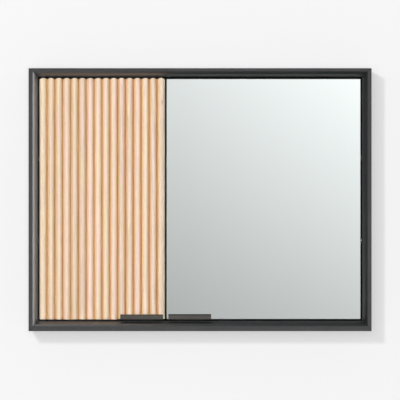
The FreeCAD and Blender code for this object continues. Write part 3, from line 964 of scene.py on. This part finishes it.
@dataclass
class MouldedFrame(Assembly):
    """Mitred frame: a flat outer band, a small step, a rounded slope and a narrow land by the doors."""

    side_flat: float = 9.0 * MM
    top_flat: float = 7.0 * MM
    bottom_flat: float = 11.2 * MM
    step: float = 1.0 * MM
    slope_width: float = 9.2 * MM
    slope_drop: float = 16.0 * MM
    slope_bulge: float = 2.0 * MM
    land: float = 1.6 * MM
    outer_round: float = 1.0 * MM
    fine_round: float = 0.4 * MM
    slope_clear: float = 0.48 * MM
    corner_points: int = 13
    mitre_groove: float = 0.25 * MM
    mitre_run: float = 0.5 * MM

    def flat_of(self, side: FrameSide) -> float:
        """Width of a member's flat band."""
        return {FrameSide.TOP: self.top_flat, FrameSide.BOTTOM: self.bottom_flat}.get(side, self.side_flat)

    def outline(self, flat: float, depth: float) -> Outline:
        """Profile of a member as (inward, backward) points.

        The slope is one large eased corner. With the chord c and the bulge h, its two ends turn by
        b = 2 atan(2 h / c) from the chord, so its corner stands c tan(b) / 2 off the middle of the chord
        and c / (2 cos(b)) from each end. It stops a little short of the fine rounds beside it.

        Args:
            flat: Width of its flat band.
            depth: Depth of the member.

        Returns:
            The eased profile, with no wear on the slope.
        """
        foot = flat + self.slope_width
        inner = foot + self.land
        sunk = self.step + self.slope_drop
        chord = math.hypot(self.slope_width, self.slope_drop)
        turn = 2 * math.atan(2 * self.slope_bulge / chord)
        lift = math.tan(turn) / 2
        fine = self.fine_round
        sweep = chord / (2 * math.cos(turn)) - self.slope_clear
        crown_in = flat + self.slope_width / 2 + lift * self.slope_drop
        crown_back = self.step + self.slope_drop / 2 - lift * self.slope_width
        profile = np.array([
            (0.0, 0.0, self.outer_round),
            (flat, 0.0, fine),
            (flat, self.step, fine),
            (crown_in, crown_back, sweep),
            (foot, sunk, fine),
            (inner, sunk, fine),
            (inner, depth, fine),
            (0.0, depth, fine),
        ])
        eased = rounded_outline(profile[:, :2], profile[:, 2], self.corner_points)
        on_slope = np.repeat(profile[:, 2] == sweep, self.corner_points)
        return Outline(eased.points, np.where(on_slope, 0.0, eased.wear))

    def mitre(self, inward: np.ndarray, flat: float, other: float) -> np.ndarray:
        """How far a member's end steps back: in the ratio of the two flat bands, and then one for one."""
        return np.where(inward <= flat, inward * other / flat, other + inward - flat)

    def member(self, side: FrameSide) -> bpy.types.Mesh:
        """Carry the profile along one side, between its two mitres.

        Ring i lies at the share t_i of the way from the mitre at the low end to the one at the high end.
        The first and last rings are drawn in a little, which leaves a fine groove along the mitre.

        Args:
            side: Which member.

        Returns:
            Its mesh.
        """
        low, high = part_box(side.value)
        half = high.x if side.is_rail else high.z
        flat = self.flat_of(side)
        meets = (self.side_flat, self.side_flat) if side.is_rail else (self.bottom_flat, self.top_flat)
        outline = self.outline(flat, high.y - low.y)
        ends = outline.inset(self.mitre_groove)
        run = self.mitre_run / (2 * half)
        shares = np.array([0.0, run, 0.25, 0.5, 0.75, 1.0 - run, 1.0])
        profile = np.stack([ends] + [outline.points] * (len(shares) - 2) + [ends])
        inward, backward = profile[..., 0], profile[..., 1]
        start = -half + self.mitre(inward, flat, meets[0])
        stop = half - self.mitre(inward, flat, meets[1])
        along = start + shares[:, None] * (stop - start)
        reach = max(abs(low.z), abs(high.z)) if side.is_rail else max(abs(low.x), abs(high.x))
        across = side.sign * (reach - inward)
        y = low.y + backward
        rings = np.stack([along, y, across] if side.is_rail else [across, y, along], axis=-1)
        return swept_mesh(side.value + "_moulded", rings, {"arris": np.tile(outline.wear, len(shares))})

    def build(self) -> Pieces:
        """Build the four members."""
        return [self.fit(self.member(side), side.value, "frame_lacquer", FRAME_LACQUER)
                for side in FrameSide]


@dataclass
class LipPull(Assembly):
    """Lip pull: a thin leg under the door and an upturned lip in front of it."""

    node: str
    leg_thickness: float = 1.0 * MM
    lip_thickness: float = 2.5 * MM
    bend: float = 1.1 * MM
    lip_slope: float = 2.0 * MM
    back_round: float = 0.25 * MM
    end_round: float = 0.35 * MM
    head_show: float = 0.03 * MM
    corner_points: int = 8
    end_rings: int = 4

    def outline(self, low: Vector, high: Vector) -> Outline:
        """Profile in Y and Z, an L with eased bends.

        Args:
            low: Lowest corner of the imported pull.
            high: Highest corner of it.

        Returns:
            The eased profile.
        """
        under = low.z + self.head_show
        leg_top = low.z + self.leg_thickness
        lip_back = low.y + self.lip_thickness
        profile = np.array([
            (low.y, under, self.bend),
            (high.y, under, self.back_round),
            (high.y, leg_top, self.back_round),
            (lip_back, leg_top, self.bend),
            (lip_back, high.z, self.back_round),
            (low.y, high.z, self.lip_slope),
        ])
        return rounded_outline(profile[:, :2], profile[:, 2], self.corner_points)

    def build(self) -> Pieces:
        """Carry the profile along the pull, from one rounded end to the other.

        Returns:
            The pull.
        """
        low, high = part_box(self.node)
        outline = self.outline(low, high)
        run, drawn = rounded_end(self.end_round, self.end_rings)
        x = np.concatenate([low.x + run, (high.x - run)[::-1]])
        profile = np.stack([outline.inset(d) for d in np.concatenate([drawn, drawn[::-1]])])
        level = np.broadcast_to(x[:, None, None], (*profile.shape[:2], 1))
        rings = np.concatenate([level, profile], axis=-1)
        mesh = swept_mesh(self.node + "_bent", rings, {"arris": np.tile(outline.wear, len(x))})
        return [self.fit(mesh, self.node, "pull_metal", PowderCoat(self.node + "_coat"))]


@dataclass
class Door(Assembly):
    """Base of the two doors: a panel with oak veneer on its back and near-black lacquer elsewhere, painted
    shade in the gaps round the door.
    """

    def panel(self, node: str) -> Pieces:
        """Dress the door's panel.

        Args:
            node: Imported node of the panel.

        Returns:
            The panel.
        """
        low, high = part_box(node)
        low = tuple(low + Vector((SKIN, SKIN, SKIN)))
        high = tuple(high + Vector((-SKIN, SKIN, -SKIN)))
        # Its lacquered edges are near-black: painted shade in the gaps.
        return self.dress(VeneeredBoard(node + "_board", GrainAxis.UPRIGHT, low, high, GAP_SHADE_BLACK), node)


@dataclass
class ReededDoor(Door):
    """Left door: half-round oak slats side by side on a veneered panel."""

    slats: int = 16
    flank: float = 2.0 * MM
    end_round: float = 0.9 * MM
    end_clear: float = 3.6 * MM
    dome: float = 2.7 * MM
    uneven: float = 0.12 * MM
    # Share of the painted groove shade on a side that has no neighbour.
    open_side_groove_shade: float = 0.2
    end_rings: int = 6
    middle_rings: int = 12
    face_points: int = 33
    cut_from: Point = (0.05, 0.03, 0.0)
    cut_reach: Point = (0.09, 0.05, 3.0)
    seed: int = 41

    def slat(self, node: str, luck: np.ndarray, open_side: int) -> bpy.types.Mesh:
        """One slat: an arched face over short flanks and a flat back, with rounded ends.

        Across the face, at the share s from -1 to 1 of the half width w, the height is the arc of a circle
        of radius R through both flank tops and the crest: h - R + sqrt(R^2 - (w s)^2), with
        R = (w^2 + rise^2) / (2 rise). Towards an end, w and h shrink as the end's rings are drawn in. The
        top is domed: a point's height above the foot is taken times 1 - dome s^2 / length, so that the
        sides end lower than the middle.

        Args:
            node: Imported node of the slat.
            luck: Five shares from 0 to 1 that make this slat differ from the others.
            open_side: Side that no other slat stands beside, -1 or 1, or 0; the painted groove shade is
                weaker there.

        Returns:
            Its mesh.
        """
        low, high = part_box(node)
        *cut_luck, crest_luck, tone_luck = luck
        run, drawn = rounded_end(self.end_round, self.end_rings)
        middle = np.linspace(low.z + self.end_clear, high.z - self.end_clear, self.middle_rings)
        z = np.concatenate([low.z + run, middle, (high.z - run)[::-1]])[:, None]
        shrink = np.concatenate([drawn, np.zeros_like(middle), drawn[::-1]])[:, None]
        wide = (high.x - low.x) / 2 - shrink
        crest = (high.y - low.y) - shrink - self.uneven * crest_luck
        rise = crest - self.flank
        radius = (wide**2 + rise**2) / (2 * rise)
        s = np.sin(np.linspace(-math.pi / 2, math.pi / 2, self.face_points))[None, :]
        face = crest - radius + np.sqrt(radius**2 - (wide * s) ** 2)
        x = (low.x + high.x) / 2 + np.concatenate([wide * s, wide, -wide], axis=1)
        y = high.y - np.concatenate([face, np.zeros_like(wide), np.zeros_like(wide)], axis=1)
        across = np.concatenate([s[0], [1.0, -1.0]])[None, :]
        domed = low.z + (z - low.z) * (1 - self.dome * across**2 / (high.z - low.z))
        rings = np.stack([x, y, domed], axis=-1)
        # Painted shade towards the grooves, weaker on the open side where no slat stands beside.
        reach = np.abs(s[0]) * np.where(np.sign(s[0]) == open_side, self.open_side_groove_shade, 1.0)
        cut = np.array(self.cut_from) + np.array(self.cut_reach) * cut_luck
        points = rings.shape[0] * rings.shape[1]
        return swept_mesh(node + "_reeded", rings, {
            "groove": np.tile(np.concatenate([reach, [1.0, 1.0]]), len(z)),
            "cut": np.tile(cut, (points, 1)),
            "tone": np.full(points, tone_luck),
            "shade": np.full(points, crest_luck),
        })

    def build(self) -> Pieces:
        """Build the slats, dress the panel and fit the pull.

        Returns:
            The door's pieces.
        """
        luck = np.random.default_rng(self.seed).random((self.slats, 5))
        open_sides = {1: -1, self.slats: 1}
        pieces = []
        for number, share in enumerate(luck, start=1):
            node = f"slat_{number:02d}"
            mesh = self.slat(node, share, open_sides.get(number, 0))
            pieces.append(self.fit(mesh, node, "oak_slats", SLAT_OAK))
        pieces += self.panel("left_door_core")
        return pieces + LipPull(self.body, "left_pull").build()


@dataclass
class MirrorDoor(Door):
    """Right door: a silvered mirror taped to a panel."""

    def build(self) -> Pieces:
        """Dress the panel, the tape and the mirror, and fit the pull.

        Returns:
            The door's pieces.
        """
        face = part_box("mirror_glass")[0].y
        pieces = self.panel("right_door_core")
        pieces += self.dress(BONDING_FOAM, "mirror_tape")
        pieces += self.dress(SilveredGlass("silvered_mirror", face), "mirror_glass")
        return pieces + LipPull(self.body, "right_pull").build()


@dataclass
class CaseBox(Assembly):
    """Case behind the frame: four panels, a divider, a back panel and two hanging rails."""

    def build(self) -> Pieces:
        """Dress the panels, the rails and the dowels.

        The veneer lies inside a box that stops short of the panels' front edges and outer faces.

        Returns:
            The case's pieces.
        """
        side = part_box("case_top_panel")[1].x + SKIN
        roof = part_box("case_top_panel")[0].z + SKIN
        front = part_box("case_left_panel")[0].y + SKIN
        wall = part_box("back_panel")[1].y
        inside = {"low": (-side, front, -roof), "high": (side, wall - SKIN, roof)}
        level = VeneeredBoard("board_across", GrainAxis.ACROSS, lacquer=CHARCOAL, **inside)
        upright = VeneeredBoard("board_upright", GrainAxis.UPRIGHT, lacquer=CHARCOAL, **inside)
        # The divider's front edge is near-black: painted shade in the gap between the doors.
        divider = VeneeredBoard("divider_board", GrainAxis.UPRIGHT, lacquer=GAP_SHADE_BLACK, **inside)
        pieces = self.dress(level, "case_top_panel", "case_bottom_panel")
        pieces += self.dress(upright, "case_left_panel", "case_right_panel")
        pieces += self.dress(divider, "centre_divider")
        pieces += self.dress(RAIL_LACQUER, "upper_hanging_rail", "lower_hanging_rail")
        pieces += self.dress(BackBoard("fibre_back_board", wall, CHARCOAL), "back_panel")
        return pieces + self.dress(DOWEL_BEECH, "dowels")


@dataclass
class ShelfSet(Assembly):
    """Four glass shelves on nickel pins."""

    def build(self) -> Pieces:
        """Dress the shelves and their pins.

        Returns:
            The shelves and pins.
        """
        low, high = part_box("left_shelf_1")
        glass = ShelfGlass("toughened_shelf_glass", low.y, high.y)
        shelves = [f"{hand}_shelf_{number}" for hand in ("left", "right") for number in (1, 2)]
        return self.dress(glass, *shelves) + self.dress(PIN_NICKEL, "shelf_pins")


@dataclass
class Fittings(Assembly):
    """Hinges, catches and screws of all three bodies."""

    hands: tuple[str, str] = ("left", "right")

    def build(self) -> Pieces:
        """Dress the fittings.

        Returns:
            The fittings.
        """
        leaves = [f"{hand}_{place}_{part}_leaf" for hand in self.hands for place in ("upper", "lower")
                  for part in ("rail", "door")]
        screwed = ("back_panel", "catch", "rail_leaf", "left_door", "right_door")
        pieces = self.dress(HINGE_STEEL, "hinge_pins", *leaves)
        pieces += self.dress(SCREW_ZINC, *(f"{place}_screws" for place in screwed))
        pieces += self.dress(STRIKE_ZINC, *(f"{hand}_strike_plate" for hand in self.hands))
        pieces += self.dress(MAGNET_PLATE, "catch_magnets")
        pieces += self.dress(CATCH_PLASTIC, *(f"{hand}_catch" for hand in self.hands))
        return pieces + self.dress(WASHER_NYLON, "hinge_washers")


# Stage

@dataclass(frozen=True)
class SoftLamp:
    """Soft oblong lamp that the camera doesn't see, and that gloss shows only if it is glossy.

    Its level is the light on a surface at its aim that faces it, where 1 renders a colour as written. It
    lights the pieces whose names start as given, or the stage as well if no start is given.
    """

    name: str
    place: Point
    level: float
    width: float
    height: float
    aim: Point = (0.0, -0.07, 0.0)
    lit: str | None = None
    glossy: bool = False

    def hang(self, pieces: Pieces) -> None:
        """Hang the lamp.

        Args:
            pieces: All the cabinet's pieces.
        """
        way = Vector(self.aim) - Vector(self.place)
        light = bpy.data.lights.new(self.name, "AREA")
        light.shape = "RECTANGLE"
        light.size = self.width
        light.size_y = self.height
        light.energy = self.level * math.pi**2 * way.length_squared
        lamp = add_object(self.name, light)
        lamp.location = self.place
        lamp.rotation_euler = way.to_track_quat("-Z", "Y").to_euler()
        lamp.visible_camera = False
        lamp.visible_glossy = self.glossy
        if self.lit is not None:
            receivers = bpy.data.collections.new("lit_by_" + self.name)
            for piece in pieces:
                if piece.name.startswith(self.lit):
                    receivers.objects.link(piece)
            lamp.light_linking.receiver_collection = receivers


MIRROR_CARD = SoftLamp("left_card", place=(-1.4, -1.41, -1.31), level=0.21, width=3.75, height=2.45,
                       aim=(0.14, -0.12, 0.0), lit="mirror_glass", glossy=True)
LAMPS = (
    SoftLamp("key_lamp", place=(-1.12, -6.0, 1.05), level=0.235, width=0.34, height=0.34),
    SoftLamp("soft_lamp", place=(-0.2, -6.0, 0.2), level=0.18, width=1.1, height=1.1),
    SoftLamp("side_lamp", place=(-2.0, -2.9, 0.6), level=0.195, width=1.2, height=1.2, lit=ANY_PIECE),
    SoftLamp("sheen_lamp", place=(-2.0, -2.9, 0.6), level=0.14, width=1.2, height=1.2,
             lit="slat_", glossy=True),
    SoftLamp("slope_card", place=(1.206, -0.413, 0.0), level=0.42, width=0.86, height=1.2,
             aim=(-0.37, -0.135, 0.0), lit=FrameSide.LEFT.value, glossy=True),
    SoftLamp("upper_slope_card", place=(-0.7, -0.413, -1.296), level=0.05, width=0.5, height=0.86,
             aim=(-0.35, -0.135, 0.28), lit=FrameSide.TOP.value, glossy=True),
    SoftLamp("lower_slope_card", place=(-0.6, -0.413, 1.296), level=0.08, width=0.5, height=0.86,
             aim=(-0.35, -0.135, -0.28), lit=FrameSide.BOTTOM.value, glossy=True),
    MIRROR_CARD,
    replace(MIRROR_CARD, name="right_card", place=(1.68, -1.41, -1.31)),
    SoftLamp("back_lamp", place=(0.8, 5.0, 1.8), level=0.6, width=2.0, height=2.0, lit=ANY_PIECE),
)


@dataclass
class StudioWorld:
    """Even light all round, and a soft bright screen that only gloss shows.

    Within the few degrees about the camera that the closed mirror shows, the screen brightens evenly from
    the lower left to the upper right. Further out it is pale below and dark above, and from about 30 to
    55 degrees it fades to a dark surround with a dim screen overhead. Behind the wall it is even. Each view
    is given by the two values of a direction's part towards the camera, or upwards, that it fades in
    between.
    """

    distance: float
    ambient: float = 0.17
    paper: float = 0.92
    mirror_base: float = 0.45
    mirror_right: float = 0.165
    mirror_up: float = 0.335
    mirror_corner: float = 0.09
    lower_screen: float = 0.4
    middle_screen: float = 0.15
    upper_screen: float = 0.1
    surround: float = 0.035
    behind: float = 0.4
    mirror_view: Span = (0.98, 0.995)
    screen_view: Span = (0.55, 0.85)
    front_view: Span = (-0.3, -0.1)
    level_view: Span = (-0.12, 0.12)
    overhead_view: Span = (0.3, 0.9)

    def mirror_glow(self, nodes: NodeTree, x: Socket, z: Socket) -> Socket:
        """Screen that the closed mirror shows.

        At the shares a across and b up the mirror, it is base + right a + up b + corner a b.

        Args:
            nodes: Node tree to add to.
            x: Rightward part of a direction.
            z: Upward part of it.

        Returns:
            The screen's level.
        """
        low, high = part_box("mirror_glass")
        across = nodes.ramp(x, (low.x / self.distance, high.x / self.distance))
        rise = nodes.ramp(z, (low.z / self.distance, high.z / self.distance))
        level = nodes.math("MULTIPLY_ADD", across, self.mirror_right, self.mirror_base)
        level = nodes.math("MULTIPLY_ADD", rise, self.mirror_up, level)
        return nodes.math("MULTIPLY_ADD", nodes.math("MULTIPLY", across, rise), self.mirror_corner, level)

    def fill(self) -> None:
        """Make the world: even light for soft surfaces, the screen for gloss, paper for the camera."""
        world = bpy.data.worlds.new("studio_world")
        bpy.context.scene.world = world
        nodes = NodeTree(world)
        x, y, z = nodes.parts(nodes.add("TexCoord").outputs["Generated"])
        ahead = nodes.math("MULTIPLY", y, -1.0)
        overhead = nodes.ease(z, self.overhead_view)
        aside = nodes.math("MULTIPLY_ADD", overhead, self.upper_screen, self.surround)
        screen = nodes.blend(nodes.ease(z, self.level_view), self.lower_screen, self.middle_screen)
        front = nodes.blend(nodes.ease(ahead, self.mirror_view), screen, self.mirror_glow(nodes, x, z))
        gloss = nodes.blend(nodes.ease(ahead, self.screen_view), aside, front)
        gloss = nodes.blend(nodes.ease(ahead, self.front_view), self.behind, gloss)
        path = nodes.add("LightPath").outputs
        straight = nodes.math("MAXIMUM", path["Is Camera Ray"], path["Is Transmission Ray"])
        strength = nodes.blend(path["Is Glossy Ray"], self.ambient, gloss)
        background = nodes.tree.nodes["Background"]
        nodes.feed(background.inputs["Color"], (1.0, 1.0, 1.0))
        nodes.feed(background.inputs["Strength"], nodes.blend(straight, strength, self.paper))


@dataclass
class Studio:
    """Pale wall and floor, soft lights and the camera."""

    camera_distance: float = 8.0
    picture_width: float = 0.8884
    aim_x: float = -0.0001
    aim_z: float = -0.00074
    sensor_width: float = 36.0
    sight: float = 100.0
    wall_gap: float = 1.5 * MM
    floor_level: float = -1.2
    stage_reach: float = 6.0

    def sheet(self, name: str, corners: list[Point], surface: StageSurface) -> None:
        """Lay one flat surface of the stage, seen by the camera alone.

        Args:
            name: Name of the surface.
            corners: Its four corners, anticlockwise seen from its front.
            surface: What it is made of.
        """
        mesh = bpy.data.meshes.new(name)
        mesh.from_pydata(corners, [], [(0, 1, 2, 3)])
        mesh.materials.append(surface.material())
        plane = add_object(name, mesh)
        plane.visible_diffuse = False
        plane.visible_glossy = False
        plane.visible_transmission = False
        plane.visible_shadow = False

    def lay_stage(self) -> None:
        """Lay the wall behind the cabinet and the floor below it."""
        far = self.stage_reach
        deep = self.wall_gap
        low = self.floor_level
        wall = [(-far, deep, -far), (far, deep, -far), (far, deep, far), (-far, deep, far)]
        floor = [(-far, -far, low), (far, -far, low), (far, far, low), (-far, far, low)]
        self.sheet("studio_wall", wall, PALE_WALL)
        self.sheet("studio_floor", floor, PALE_FLOOR)

    def place_camera(self) -> None:
        """Stand the camera square to the front, far enough off to see no side of the frame."""
        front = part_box(FrameSide.TOP.value)[0].y
        data = bpy.data.cameras.new("camera")
        data.sensor_width = self.sensor_width
        data.lens = self.sensor_width * self.camera_distance / self.picture_width
        data.clip_end = self.sight
        camera = add_object("camera", data)
        camera.location = (self.aim_x, front - self.camera_distance, self.aim_z)
        camera.rotation_euler = (math.pi / 2, 0.0, 0.0)
        bpy.context.scene.camera = camera

    def set_up(self, pieces: Pieces) -> None:
        """Lay the stage, hang the lamps, fill the world and place the camera.

        Args:
            pieces: All the cabinet's pieces.
        """
        self.lay_stage()
        for lamp in LAMPS:
            lamp.hang(pieces)
        StudioWorld(self.camera_distance).fill()
        self.place_camera()
        bpy.context.scene.view_settings.view_transform = "Standard"


def main() -> None:
    """Build the sub-assemblies in order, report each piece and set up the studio."""
    logging.basicConfig(level=logging.INFO, format="%(message)s")
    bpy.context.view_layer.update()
    assemblies = (
        MouldedFrame("case"),
        CaseBox("case"),
        ShelfSet("case"),
        ReededDoor("left_door"),
        MirrorDoor("right_door"),
        Fittings("case"),
    )
    pieces = []
    for assembly in assemblies:
        built = assembly.build()
        pieces += built
        for piece in built:
            log.info("%s: %s", type(assembly).__name__, piece.name)
    Studio().set_up(pieces)


if __name__ == "__main__":
    main()
